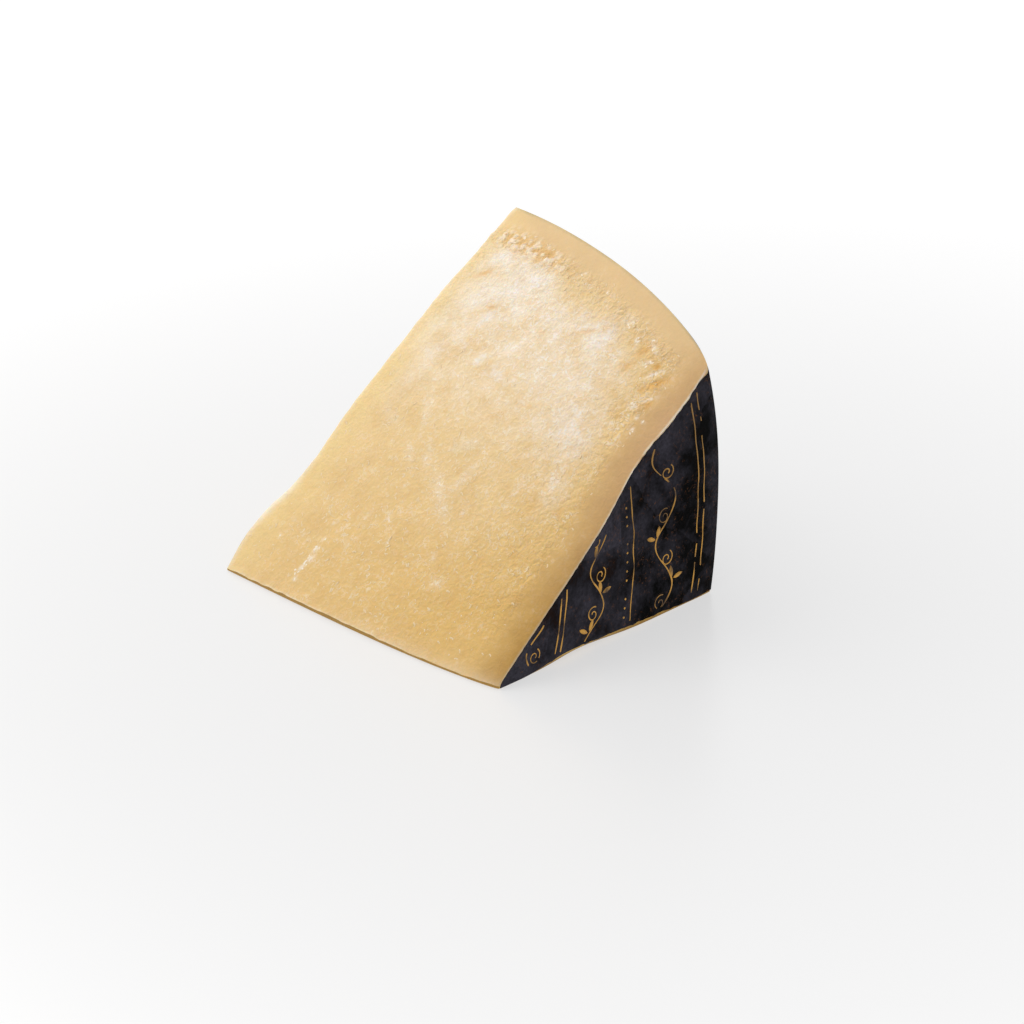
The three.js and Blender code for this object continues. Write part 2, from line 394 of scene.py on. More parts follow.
# Where each change of the paste begins and is full, in millimetres on the cuts
zones = dict(
    start=(0, 0.05), rind=(0.5, 5), band=(-2, 3),               # relief begins, and ends under the rind
    cornerX=(60, 92), cornerUp=(4, 26), calm=(5, 30),           # firm and calm beside the flat rind's foot
    noduleX=(34, 48), noduleUp=(100, 112), noduleEdge=(2, 5),
    brokenX=(62, 78), brokenUp=(66, 86), brokenEdge=(1, 5),
    gapUp=(40, 80), lineUp=(20, 70), lipX=(25, 75),             # pale lines along the edges
    bloomX=(30, 50), bloomRim=(24, 66), bloomFlat=(10, 34), bloomEdge=(-4, 9), bloomFrom=(0.5, 1),
    goldUp=(0, 92), goldInner=(0, 45), goldFlat=(35, 105),
    low=(3, 7), foot=(0, 1.3), cutFoot=(1.5, 3), grainEdge=(1, 3),
)
peaks = dict(wornUp=(24, 11), flatRindShadeUp=(32, 26), paleX=(66, 20), paleUp=(44, 14))     # middle and half width


def bodyFields(points, shares):
    # what relief, grains and colour follow, in millimetres or as shares
    c, p = chunk, paste
    along, deep, up = shares.T
    x, y, z = points.T

    def rise(value, zone):
        return smoothStep(value, *zones[zone])

    def peak(value, name):
        return bump(value, *peaks[name])

    slope = y * cutCos + z * cutSin     # distance up the upper cut, and depth below it
    under = (y - thinEdgeAt(x)) * cutSin - (z - c["bluntHeight"]) * cutCos
    toRim = rimRadius(x) - np.hypot(y + c["axisBack"], z - c["axisHeight"])
    toFlat = flatRindAt(deep, up) - x
    toRind = np.minimum(toRim, toFlat)
    toEdge = np.where(up == 1, np.maximum(x - innerCutAt(deep, up), 0), np.maximum(under, 0))
    inside = np.minimum(toRim - p["rimBand"], toFlat - p["flatBand"])
    start = rise(deep, "start")
    start *= 0.15 + 0.85 * rise(np.maximum(toRind, 0), "rind")
    onUpper, onInner = (up == 1) * start, (along == 0) * start
    clear = rise(inside, "band")
    corner = rise(x, "cornerX") * (1 - rise(slope, "cornerUp"))
    crumbly = clear * (0.25 + 0.75 * np.exp(-np.maximum(inside, 0) / p["crumbFade"]))
    crumbly *= 1 - 0.7 * corner
    calmFrom, calmTo = zones["calm"]
    calm = (0.5 + 0.5 * np.clip((toEdge - calmFrom) / (calmTo - calmFrom), 0, 1)) * (1 - 0.6 * corner)
    # broken line under the rind, with nodules towards the inner cut
    nearInner = (1 - rise(x, "noduleX")) * rise(slope, "noduleUp")
    broken = bump(inside, p["breakAt"], p["breakWidth"]) * rise(slope, "brokenUp")
    broken *= rise(toEdge, "brokenEdge")
    nodules = broken * nearInner * rise(toEdge, "noduleEdge")
    broken = broken * (0.65 + 0.35 * np.maximum(nearInner, rise(x, "brokenX")))
    # ragged pale edges, all painted light: a painted highlight along the rind line and along the thin
    # edge, and painted light showing through the thin crumbled inner edge
    ragged = 1 + 0.5 * waves(points, 4.0, 21) + 0.15 * waves(points, 1.2, 22)
    edgeDrop = p["edgeDrop"] * ragged * np.clip(1 - toEdge / p["edgeRound"], 0, 1) ** 2
    toRindEdge = np.where(up == 1, toFlat - c["coatGap"], np.maximum(under, 0))
    # where the painted light on the inner edge runs widest up the slope
    worn = peak(slope, "wornUp")
    featherGlow = (0.42 + 0.53 * worn) * np.exp(-(toEdge / (0.9 + 0.9 * worn + 0.3 * ragged)) ** 2) * (x < 40)
    gaps = np.clip(1 + (0.3 + 0.9 * rise(slope, "gapUp")) * waves(points, 2.2, 24), 0.05, 1)
    rindEdgeHighlight = (0.5 + 0.4 * rise(slope, "lineUp")) * gaps * np.exp(-(toRindEdge / 0.2) ** 2)
    paintedEdgeLight = np.maximum(rindEdgeHighlight, featherGlow)
    toThinEdge = np.abs(slope - thinEdgeAt(x) * cutCos - c["bluntHeight"] * cutSin)
    thinEdgeHighlight = 0.5 * np.clip(ragged, 0.2, 1) * np.exp(-toThinEdge / 0.3)
    broadThinEdgeHighlight = (0.08 + 0.2 * rise(x, "lipX")) * np.clip(ragged, 0.5, 1.2) * np.exp(-toThinEdge / 2.0)
    paintedEdgeLight = np.maximum(paintedEdgeLight, np.maximum(thinEdgeHighlight, broadThinEdgeHighlight) * (up == 1))
    # pale bloom below the rim band, painted shade beside the flat rind, gold towards the thin edge
    bloomEnd = 13 + 8 * rise(x, "bloomX")
    bloom = rise(toRim / bloomEnd, "bloomFrom") * (1 - rise(toRim, "bloomRim"))
    bloom *= rise(toFlat, "bloomFlat") * rise(toEdge, "bloomEdge")
    # painted shade: darker beside the flat rind, in the middle of the slope
    flatRindShade = peak(slope, "flatRindShadeUp") * np.exp(-np.maximum(toFlat, 0) / 8)
    golden = 0.75 * (1 - rise(slope, "goldUp")) * (0.65 + 0.35 * rise(x, "goldInner"))
    golden += 0.4 * rise(x, "goldFlat") - 0.28 * peak(x, "paleX") * peak(slope, "paleUp")
    onFlat = (along == 1) * (deep > 0.02)
    low = (1 - rise(z, "low")) * onFlat
    # painted contact shade: the flat face turns darkest at its very bottom, by the floor
    foot = (1 - rise(z, "foot")) * onFlat
    # painted shade: the blunt face of the thin edge is coloured dark gold-brown
    bluntShade = 1.0 * (up == 0) * (deep > 0) * (deep <= c["bluntShare"])
    paintedEdgeLight = paintedEdgeLight * (1 - bluntShade)
    # painted shadow: a thin grey line on the upper cut along the rim's edge
    rimEdgeShadow = np.clip(0.34 + 0.3 * waves(points, 4.0, 23), 0, 1) * (up == 1)
    rimEdgeShadow *= np.exp(-((toRim - c["coatGap"]) / 0.3) ** 2)
    chip, rows, haze, veil = (strokes(x, slope, p[table]) * onUpper
                              for table in ("chips", "crystalRows", "hazes", "veils"))
    streak = strokes(x, slope, streakMarks()) * clear
    # where flecks, curls, crumbs and crystals lie
    onCut = np.maximum(onUpper, onInner) * rise(z, "cutFoot")
    flecks = np.clip(0.02 + 0.1 * crumbly + 0.45 * bloom + 0.3 * veil, 0, 1.2) * (1 - chip) * (1 - nodules)
    grains = np.clip(0.2 + 0.4 * streak + 1.0 * veil, 0, 1.3) * (1 - bloom) ** 2
    grains = grains * rise(toEdge, "grainEdge") * (1 - 0.8 * corner)
    return dict(
        toRim=toRim, toFlat=toFlat, toEdge=toEdge, upSlope=slope, crumbly=crumbly, broken=broken,
        edgeDrop=edgeDrop, paintedEdgeLight=paintedEdgeLight, bloom=bloom, golden=np.clip(golden, 0, 1), low=low, foot=foot,
        onUpper=onUpper, onInner=onInner, chip=chip, streak=streak, nodules=nodules, rows=rows, haze=haze,
        veil=veil, bluntShade=bluntShade, rimEdgeShadow=rimEdgeShadow, flatRindShade=flatRindShade, calm=calm,
        fleckZone=onCut * clear * flecks, grainZone=onCut * clear * grains,
        crumbZone=onCut * np.maximum(nodules, 0.03 * broken), crystalZone=onCut * rows)


def reliefTree():
    # knife waves, crumbs, grains, a broken line, nodules and chips, as height along each cut's normal
    sizes = ("waveSize", "waveDepth", "crumbSize", "crumbDepth", "grainSize", "grainDepth",
             "breakSize", "breakDepth", "noduleSize", "noduleDepth", "chipDepth")
    tree, inputs, value = newTree("pasteRelief", dict.fromkeys(sizes, "Float"))
    for name in ("onUpper", "onInner", "crumbly", "broken", "edgeDrop", "chip", "nodules"):
        node = addNode(tree, "GeometryNodeInputNamedAttribute", {"Name": name}, data_type="FLOAT")
        value[name] = node.outputs["Attribute"]
    place = addNode(tree, "GeometryNodeInputPosition")
    value["height"] = 0.0
    layers = (("wave", 1.0, 1.0), ("crumb", 1.5, "crumbly"), ("grain", 2.5, "crumbly"),
              ("break", 2.0, "broken"))
    for layer, (kind, detail, share) in enumerate(layers):
        addSteps(tree, value, [("pitch", "DIVIDE", 1.0, kind + "Size")])
        value["texture"] = addNode(tree, "ShaderNodeTexNoise", {
            "Vector": place, "W": 3.7 * layer, "Scale": value["pitch"], "Detail": detail, "Roughness": 0.55},
            noise_dimensions="4D")
        addSteps(tree, value, (
            ("swing", "STRETCH", "texture", 0.25, 0.75, -1.0, 1.0),
            ("part", "MULTIPLY", "swing", kind + "Depth"), ("part", "MULTIPLY", "part", share),
            ("height", "ADD", "part", "height")))
    addSteps(tree, value, [("pitch", "DIVIDE", 1.0, "noduleSize")])
    cell = addNode(tree, "ShaderNodeTexVoronoi", {"Vector": place, "Scale": value["pitch"]}, feature="F1")
    value["toCore"] = cell.outputs["Distance"]
    addSteps(tree, value, (
        ("dome", "SMOOTH", "toCore", 0.62, 0.25), ("domed", "MULTIPLY", "dome", "nodules"),
        ("height", "MULTIPLY_ADD", "domed", "noduleDepth", "height"),
        ("scoop", "MULTIPLY", "chip", "chipDepth"), ("height", "SUBTRACT", "height", "scoop"),
        ("relief", "MULTIPLY", "height", 1 / mm), ("lowered", "MULTIPLY_ADD", "edgeDrop", -mm, "height"),
        ("onUpper", "MULTIPLY", "lowered", "onUpper"), ("upper", "SCALE", (0, -cutSin, cutCos), "onUpper"),
        ("onInner", "MULTIPLY", "lowered", "onInner"), ("inner", "SCALE", (-1, 0, 0), "onInner")))
    both = addNode(tree, "ShaderNodeVectorMath", {0: value["upper"], 1: value["inner"]}, operation="ADD")
    shape = value["Geometry"]
    for name in ("relief", "dome"):
        shape = addNode(tree, "GeometryNodeStoreNamedAttribute", {
            "Geometry": shape, "Name": name, "Value": value[name]}, data_type="FLOAT", domain="POINT")
    moved = addNode(tree, "GeometryNodeSetPosition", {"Geometry": shape, "Offset": both})
    addNode(tree, "NodeGroupOutput", {"Geometry": moved})
    return tree, inputs


def pasteMaterial():
    # Cut hard cheese: granular, waxy and a little see-through, so light softens its edges and pale
    # grains show
    # painted light among these colours: the darkest gold is contact shade at the flat face's foot, the
    # gold-brown shade on the blunt edge, the grey a shadow line by the rim, the palest cream highlights along
    # the edges, and the pit amber in part shade in hollows and between nodules
    look = dict(
        paste="#EBCC95", gold="#E2B869", amber="#E5B76A", cream="#FAECDA", haze="#F7F1EC", rim="#E1BE89",
        fleck="#F9E0B4", flatLow="#BC8D39", flatHigh="#D0A777", straw="#F2D592", chipAndHollowShade="#DFA548", low="#CFA344",
        foot="#8F6A24", bluntShade="#AD853A", nodule="#FBE6CC", rimEdgeShadow="#94876F", edge="#FCF1DC",
        cloud=22.0, mottle=7.0, blotch=1.9, grain=0.8, strand=1.5, strandLong=1.8, spot=2.0,
        flank=(0.3 * mm, -0.2 * mm, 0))
    material, tree, shader, place = newMaterial("cutHardCheese", {
        "Roughness": 0.55, "IOR": 1.45, "Subsurface Weight": 0.25, "Subsurface Radius": (1.0, 0.62, 0.25),
        "Subsurface Scale": 2.0 * mm})
    value = {}
    for name in ("toRim", "toFlat", "toEdge", "upSlope", "crumbly", "broken", "bloom", "golden", "relief",
                 "chip", "streak", "veil", "nodules", "dome", "rows", "haze", "paintedEdgeLight", "low", "foot",
                 "bluntShade", "rimEdgeShadow", "flatRindShade", "calm"):
        value[name] = addNode(tree, "ShaderNodeAttribute", attribute_name=name).outputs["Fac"]
    # strands lie drawn out up the slope; their pattern moved aside gives painted relief shade, a painted
    # highlight on the flank that faces the light and painted shade on the other
    laid = addNode(tree, "ShaderNodeMapping", {
        "Vector": place, "Rotation": (-chunk["cutAngle"], 0, 0),
        "Scale": (1.0, look["strand"] / look["strandLong"], 1.0)})
    aside = addNode(tree, "ShaderNodeVectorMath", {0: laid, 1: look["flank"]}, operation="ADD")
    for name, size, source, detail, twist in (
            ("cloud", "cloud", place, 3.0, 0.0), ("mottle", "mottle", place, 5.0, 0.0),
            ("blotch", "blotch", place, 3.0, 0.0), ("grain", "grain", place, 2.0, 0.0),
            ("strand", "strand", laid, 1.0, 0.8), ("flank", "strand", aside, 1.0, 0.8)):
        value[name] = addNode(tree, "ShaderNodeTexNoise", {
            "Vector": source, "Scale": 1 / (look[size] * mm), "Detail": detail, "Roughness": 0.6,
            "Distortion": twist})
    cell = addNode(tree, "ShaderNodeTexVoronoi", {
        "Vector": laid, "Scale": 1 / (look["spot"] * mm)}, feature="F1")
    value["cell"] = cell.outputs["Distance"]
    value["lot"] = addNode(tree, "ShaderNodeSeparateColor", {0: cell.outputs["Color"]})
    addSteps(tree, value, (
        # amber patches in the crumbled part
        ("amber", "RANGE", "mottle", 0.47, 0.36, 0.0, 0.7), ("amber", "MULTIPLY", "amber", "crumbly"),
        # short winding crests of pale curd with a painted highlight, thickest in the bloom below the rim band
        ("ridge", "SUBTRACT", "strand", 0.5), ("ridge", "ABSOLUTE", "ridge"),
        ("crest", "RANGE", "ridge", 0.075, 0.015),
        ("parted", "RANGE", "blotch", 0.42, 0.56), ("worm", "MULTIPLY", "crest", "parted"),
        ("reach", "MULTIPLY_ADD", "bloom", 0.5, 0.16), ("reach", "MULTIPLY_ADD", "streak", 0.12, "reach"),
        ("reach", "MULTIPLY_ADD", "veil", 0.55, "reach"), ("reach", "MULTIPLY_ADD", "broken", 0.4, "reach"),
        ("tuft", "RANGE", "mottle", 0.5, 0.62, 0.0, 0.24), ("reach", "ADD", "reach", "tuft"),
        ("reach", "MULTIPLY", "reach", "calm"), ("worms", "MULTIPLY", "worm", "reach"),
        ("clouded", "RANGE", "cloud", 0.3, 0.65, 0.14, 0.46),
        ("pale", "MULTIPLY_ADD", "bloom", "clouded", "worms"), ("pale", "MULTIPLY_ADD", "veil", 0.28, "pale"),
        # soft round flecks of curd cut flush, in loose clusters
        ("spot", "RANGE", "cell", 0.42, 0.12), ("chosen", "RANGE", "lot", 0.5, 0.9),
        ("picked", "MULTIPLY", "spot", "chosen"), ("cluster", "RANGE", "mottle", 0.46, 0.62, 0.14, 0.46),
        ("cluster", "MULTIPLY_ADD", "streak", 0.2, "cluster"),
        ("cluster", "MULTIPLY_ADD", "veil", 0.55, "cluster"),
        ("cluster", "MULTIPLY", "cluster", "calm"), ("flecks", "MULTIPLY", "picked", "cluster"),
        # white dust and torn haze
        ("dust", "RANGE", "mottle", 0.42, 0.7, 0.0, 0.42), ("dust", "MULTIPLY", "dust", "bloom"),
        ("torn", "RANGE", "blotch", 0.32, 0.6, 0.25, 0.75), ("torn", "MULTIPLY_ADD", "crest", 0.25, "torn"),
        ("hazy", "MULTIPLY_ADD", "haze", "torn", "dust"),
        # firm darker bands under the rind, with uneven soft inner borders
        ("rimBand", "MULTIPLY_ADD", "mottle", 7.0, "toRim"),
        ("rimBand", "RANGE", "rimBand", 17.0, 7.5, 0.0, 0.85),
        ("flatBand", "MULTIPLY_ADD", "mottle", 7.0, "toFlat"),
        ("flatBand", "RANGE", "flatBand", 15.5, 4.0, 0.0, 0.95),
        ("faded", "RANGE", "toRim", 1.0, 16.0, 0.35, 1.0), ("flatBand", "MULTIPLY", "flatBand", "faded"),
        ("upFlat", "RANGE", "upSlope", 20.0, 85.0), ("upFlat", "MULTIPLY", "upFlat", "flatBand"),
        # straw along the inner cut
        ("inner", "RANGE", "toEdge", 13.0, 0.0, 0.0, 0.7),
        ("upInner", "RANGE", "upSlope", 60.0, 110.0, 1.0, 0.72), ("inner", "MULTIPLY", "inner", "upInner"),
        # chips are amber; hollows and the gaps between nodules take the same amber as painted shade;
        # crowns and crystal rows pale
        ("hollowShade", "RANGE", "relief", -0.14, -0.55, 0.0, 0.5),
        ("chipAndHollowShade", "MULTIPLY_ADD", "chip", 0.95, "hollowShade"),
        ("gap", "RANGE", "dome", 0.4, 0.0, 0.0, 0.5), ("chipAndHollowShade", "MULTIPLY_ADD", "nodules", "gap", "chipAndHollowShade"),
        ("crown", "RANGE", "dome", 0.4, 0.85, 0.0, 0.85), ("crown", "MULTIPLY", "nodules", "crown"),
        ("pearl", "RANGE", "grain", 0.36, 0.52, 0.25, 0.9), ("pearl", "MULTIPLY", "rows", "pearl"),
        # light and dark of grains and mottling, painted relief shade on the flanks, and painted shade
        # beside the flat rind
        ("speck", "RANGE", "grain", 0.3, 0.7, -0.07, 0.06), ("rough", "MULTIPLY_ADD", "crumbly", 0.75, 0.12),
        ("rough", "MULTIPLY_ADD", "flatBand", 0.3, "rough"), ("speck", "MULTIPLY", "speck", "rough"),
        ("paintedReliefShade", "SUBTRACT", "flank", "strand"),
        ("rough", "MULTIPLY_ADD", "broken", 0.5, "rough"), ("paintedReliefShade", "MULTIPLY", "paintedReliefShade", "rough"),
        ("shade", "RANGE", "mottle", 0.3, 0.7, 0.965, 1.03), ("shade", "ADD", "shade", "speck"),
        ("shade", "MULTIPLY_ADD", "paintedReliefShade", 0.64, "shade"), ("shade", "MULTIPLY_ADD", "flatRindShade", -0.1, "shade"),
        ("height", "MULTIPLY_ADD", "worm", 0.3, "grain"),
        ("height", "MULTIPLY_ADD", "picked", 0.25, "height"),
        ("height", "MULTIPLY_ADD", "strand", 0.8, "height"),
        ("strength", "MULTIPLY_ADD", "crumbly", 0.5, 0.1),
    ))
    # golden towards the thin edge and the flat rind, then each layer over the last
    value["colour"] = toLinear(look["paste"])
    addSteps(tree, value, [("colour", "OVER", share, "colour", look[name]) for share, name in (
        ("golden", "gold"), ("amber", "amber"), ("flecks", "fleck"), ("pale", "cream"), ("hazy", "haze"),
        ("rimBand", "rim"), ("flatBand", "flatLow"), ("upFlat", "flatHigh"), ("inner", "straw"),
        ("chipAndHollowShade", "chipAndHollowShade"), ("crown", "nodule"), ("pearl", "cream"), ("low", "low"), ("foot", "foot"),
        ("bluntShade", "bluntShade"), ("rimEdgeShadow", "rimEdgeShadow"), ("paintedEdgeLight", "edge"))])
    addSteps(tree, value, [("colour", "SCALE", "colour", "shade")])
    rough = addNode(tree, "ShaderNodeBump", {
        "Height": value["height"], "Strength": value["strength"], "Distance": 0.5 * mm})
    setInputs(tree, shader, {"Base Color": value["colour"], "Normal": rough})
    return material


bodyPoints, bodyFaces, bodyShares = bodyArrays()
toFrame = np.array([-51.386, -53.728, 0])     # from the end of the thin edge to the part's own origin
cheeseBody = newPiece("cheeseBody", bodyPoints + toFrame, bodyFaces, pasteMaterial())
for name, values in bodyFields(bodyPoints, bodyShares).items():
    layer = cheeseBody.data.attributes.new(name, "FLOAT", "POINT")
    layer.data.foreach_set("value", values.astype(np.float32))
reliefGroup, reliefInputs = reliefTree()
applyTree(cheeseBody, reliefGroup, {reliefInputs[name]: paste[name] * mm for name in reliefInputs})
cheeseBody.data.set_sharp_from_angle(angle=paste["sharpAngle"])
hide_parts("cheese_chunk")
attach(cheeseBody, "root")
print("paste body:", len(cheeseBody.data.polygons), "faces")

# Flecks, curls, crumbs and crystals bedded in the cuts. Small and large: width, length and height.
# Finish: the material's name, its two colours, its roughness and how much light it lets in.
scatters = dict(
    pasteFlecks=dict(
        perSquareCm=110.0, seed=3, small=(0.26, 0.5, 0.08), large=(0.48, 1.6, 0.17), turn=0.8, shape="chip",
        sink=0.2, zone="fleckZone", clump=5.0, clumpFrom=0.38, lumpy=0.0,
        finish=("dryCurdFleck", "#FBE9CB", "#F4DEB8", 0.6, 0.2)),
    pasteGrains=dict(
        perSquareCm=80.0, seed=12, small=(0.6, 0.8, 0.2), large=(1.3, 2.1, 0.42), turn=1.3, shape="curl",
        sink=0.08, zone="grainZone", clump=6.0, clumpFrom=0.44, lumpy=0.0,
        finish=("paleCurdCurl", "#F3DBB2", "#EDD0A0", 0.6, 0.0)),
    pasteCrumbs=dict(
        perSquareCm=20.0, seed=8, small=(0.7, 0.8, 0.3), large=(1.4, 1.7, 0.55), turn=3.1, shape="lump",
        sink=0.22, zone="crumbZone", clump=4.0, clumpFrom=0.32, lumpy=0.12,
        finish=("brokenCurdCrumb", "#FBE6CA", "#F1D1A2", 0.7, 0.0)),
    pasteCrystals=dict(
        perSquareCm=150.0, seed=5, small=(0.4, 0.6, 0.14), large=(0.9, 1.6, 0.3), turn=1.0, shape="lump",
        sink=0.28, zone="crystalZone", clump=3.0, clumpFrom=0.3, lumpy=0.05,
        finish=("tyrosineCrystal", "#FFF3DE", "#FCE8CC", 0.85, 0.0)),
)
lumpSize, patchSize = 0.7, 1.8      # unevenness of the lumps, and of the grains' colours


def scatterTree(name, kind, material):
    tree, inputs, value = newTree(name, dict(
        perSquareMetre="Float", seed="Int", small="Vector", large="Vector", turn="Float", clumpSize="Float",
        clumpFrom="Float", lumpy="Float"))
    seed = value["seed"]
    place = addNode(tree, "GeometryNodeInputPosition")
    zone = addNode(tree, "GeometryNodeInputNamedAttribute", {"Name": kind["zone"]}, data_type="FLOAT")
    value["zone"] = zone.outputs["Attribute"]
    # clumps drawn out up the slope
    level = addNode(tree, "ShaderNodeVectorRotate", {"Vector": place, "Angle": -chunk["cutAngle"]},
                    rotation_type="X_AXIS")
    laid = addNode(tree, "ShaderNodeVectorMath", {0: level, 1: (1.0, 0.5, 1.0)}, operation="MULTIPLY")
    addSteps(tree, value, (
        ("pitch", "DIVIDE", 1.0, "clumpSize"), ("clumpFull", "ADD", "clumpFrom", 0.2),
        ("turnBack", "MULTIPLY", "turn", -1.0)))
    value["clump"] = addNode(tree, "ShaderNodeTexNoise", {
        "Vector": laid, "W": seed, "Scale": value["pitch"], "Detail": 2.0}, noise_dimensions="4D")
    value["lump"] = addNode(tree, "ShaderNodeTexNoise", {
        "Vector": place, "Scale": 1 / (lumpSize * mm), "Detail": 1.0})
    value["outward"] = addNode(tree, "GeometryNodeInputNormal")
    addSteps(tree, value, (
        ("clumped", "RANGE", "clump", "clumpFrom", "clumpFull", 0.12),
        ("zoned", "MULTIPLY", "clumped", "zone"), ("density", "MULTIPLY", "zoned", "perSquareMetre"),
        ("centred", "SUBTRACT", "lump", 0.55), ("push", "MULTIPLY", "centred", "lumpy"),
        ("offset", "SCALE", "outward", "push")))
    spots = addNode(tree, "GeometryNodeDistributePointsOnFaces", {
        "Mesh": value["Geometry"], "Density": value["density"], "Seed": seed}, distribute_method="RANDOM")
    # each stands off the cut, lies roughly up the slope and has its own size
    upright = addNode(tree, "FunctionNodeAlignRotationToVector", {
        "Vector": spots.outputs["Normal"]}, axis="Z")
    aligned = addNode(tree, "FunctionNodeAlignRotationToVector", {
        "Rotation": upright, "Vector": (0, cutCos, cutSin)}, axis="Y", pivot_axis="Z")
    swing = addNode(tree, "FunctionNodeRandomValue", {2: value["turnBack"], 3: value["turn"], "Seed": seed},
                    data_type="FLOAT")
    about = addNode(tree, "ShaderNodeCombineXYZ", {2: swing.outputs[1]})
    spin = addNode(tree, "FunctionNodeEulerToRotation", {0: about})
    turned = addNode(tree, "FunctionNodeRotateRotation", {0: aligned, 1: spin}, rotation_space="LOCAL")
    size = addNode(tree, "FunctionNodeRandomValue", {0: value["small"], 1: value["large"], "Seed": seed},
                   data_type="FLOAT_VECTOR")
    if kind["shape"] == "chip":
        grain = addNode(tree, "GeometryNodeMeshUVSphere", {"Radius": 0.5, "Segments": 4, "Rings": 2})
    elif kind["shape"] == "curl":
        arc = addNode(tree, "GeometryNodeCurveArc", {"Resolution": 6, "Radius": 0.5, "Sweep Angle": 1.8})
        section = addNode(tree, "GeometryNodeCurvePrimitiveCircle", {"Resolution": 5, "Radius": 0.2})
        grain = addNode(tree, "GeometryNodeCurveToMesh", {
            "Curve": arc, "Profile Curve": section, "Fill Caps": True})
    else:
        grain = addNode(tree, "GeometryNodeMeshIcoSphere", {"Radius": 0.5, "Subdivisions": 2})
    bedded = addNode(tree, "GeometryNodeTransform", {"Geometry": grain, "Translation": (0, 0, -kind["sink"])})
    grains = addNode(tree, "GeometryNodeInstanceOnPoints", {
        "Points": spots.outputs["Points"], "Instance": bedded, "Rotation": turned, "Scale": size})
    real = addNode(tree, "GeometryNodeRealizeInstances", {0: grains})
    lumpy = addNode(tree, "GeometryNodeSetPosition", {"Geometry": real, "Offset": value["offset"]})
    smooth = addNode(tree, "GeometryNodeSetShadeSmooth", {0: lumpy, "Shade Smooth": kind["shape"] != "chip"})
    finished = addNode(tree, "GeometryNodeSetMaterial", {"Geometry": smooth, "Material": material})
    addNode(tree, "NodeGroupOutput", {"Geometry": finished})
    return tree, inputs


def grainMaterial(name, colour, tint, roughness, glow):
    # Broken curd grains and tyrosine crystals: pale, dry and slightly see-through
    material, tree, shader, place = newMaterial(name, {
        "Roughness": roughness, "IOR": 1.5, "Subsurface Weight": glow, "Subsurface Radius": (1.0, 0.7, 0.4),
        "Subsurface Scale": 0.8 * mm})
    value = dict(change=addNode(tree, "ShaderNodeTexNoise", {
        "Vector": place, "Scale": 1 / (patchSize * mm), "Detail": 2.0}))
    addSteps(tree, value, (
        ("share", "RANGE", "change", 0.35, 0.65), ("colour", "OVER", "share", colour, tint)))
    setInputs(tree, shader, {"Base Color": value["colour"]})
    return material


for name, kind in scatters.items():
    carrier = bpy.data.objects.new(name, cheeseBody.data.copy())
    bpy.context.collection.objects.link(carrier)
    group, inputs = scatterTree(name, kind, grainMaterial(*kind["finish"]))
    settings = dict(
        perSquareMetre=kind["perSquareCm"] * 1e4, seed=kind["seed"], small=[v * mm for v in kind["small"]],
        large=[v * mm for v in kind["large"]], turn=kind["turn"], clumpSize=kind["clump"] * mm,
        clumpFrom=kind["clumpFrom"], lumpy=kind["lumpy"] * mm)
    applyTree(carrier, group, {inputs[label]: setting for label, setting in settings.items()})
    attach(carrier, "root")
    print(name + ":", len(carrier.data.polygons), "faces")

# Dark coat over the flat rind face and round onto the rim
coat = dict(
    stepsFlat=240, stepsRim=150, stepsUp=44, thickness=0.35, sharpAngle=math.radians(60),
    start=0.003, end=0.004, startWear=0.6, startReach=0.8,      # it tapers to a point beside the thin edge
    topInset=0.15, rimTopInset=0.26, cornerWear=1.2, cornerReach=4.5, notchFull=(0.55, 0.8),
    footBorder=0.06, footInset=1.45, footFrom=0.1, footFull=0.36, footThin=(0.45, 0.95),
    leastHeight=0.08,                                           # share of the face that stays coated
)


def coatGrid(gap):
    k = coat
    flatDeep = np.linspace(k["start"], 1, k["stepsFlat"] + 1)
    rimAlong = np.linspace(1, k["end"], k["stepsRim"] + 1)[1:]
    deep = np.concatenate([flatDeep, np.ones(len(rimAlong))])
    along = np.concatenate([np.ones(len(flatDeep)), rimAlong])
    tall = skin(along, deep, np.ones(len(deep)))[:, 2]
    spot = np.stack([along * 100, deep * 100, deep * 0], -1)
    notches = np.clip(1 + 0.8 * waves(spot, 2.4, 11) + 1.3 * waves(spot, 1.0, 14), 0.05, 3.4)
    notches *= 1 + smoothStep(deep, *k["notchFull"])     # deepest towards the rim
    toCorner = np.where(deep < 1, (1 - deep) * chunk["cutLength"], (1 - along) * chunk["edgeLength"])
    worn = k["cornerWear"] * bump(toCorner, 0, k["cornerReach"])
    worn += k["startWear"] * np.exp(-(deep - k["start"]) * chunk["cutLength"] / k["startReach"])
    top = (np.where(deep < 1, k["topInset"] * notches, k["rimTopInset"]) + worn) / tall
    ragged = np.clip(1 + 0.3 * waves(spot, 14.0, 12) + 0.25 * waves(spot, 2.0, 13), 0.1, 2.2)
    bare = smoothStep(deep, k["footFrom"], k["footFull"]) * (1 - 0.75 * smoothStep(deep, *k["footThin"]))
    foot = (k["footBorder"] + k["footInset"] * bare * ragged) / tall
    top = np.minimum(top, 1 - k["leastHeight"] - foot)
    share = np.linspace(0, 1, k["stepsUp"] + 1)[None, :]
    up = foot[:, None] + (1 - top - foot)[:, None] * share
    return skin(along[:, None], deep[:, None], up, gap)


def coatArrays():
    outer, inner = coatGrid(0.0), coatGrid(coat["thickness"])
    rows, columns = outer.shape[0], outer.shape[1]
    count = rows * columns
    front = gridFaces(rows - 1, columns - 1, 0)
    back = gridFaces(rows - 1, columns - 1, count)[:, ::-1]
    index = np.arange(count).reshape(rows, columns)
    loop = np.concatenate([index[:-1, 0], index[-1, :-1], index[:0:-1, -1], index[0, :0:-1]])
    ahead = np.roll(loop, -1)
    side = np.concatenate([np.stack([ahead, loop, loop + count], -1),
                           np.stack([ahead, loop + count, ahead + count], -1)])
    points = np.concatenate([outer.reshape(-1, 3), inner.reshape(-1, 3)])
    return points, np.concatenate([front, back, side]), front


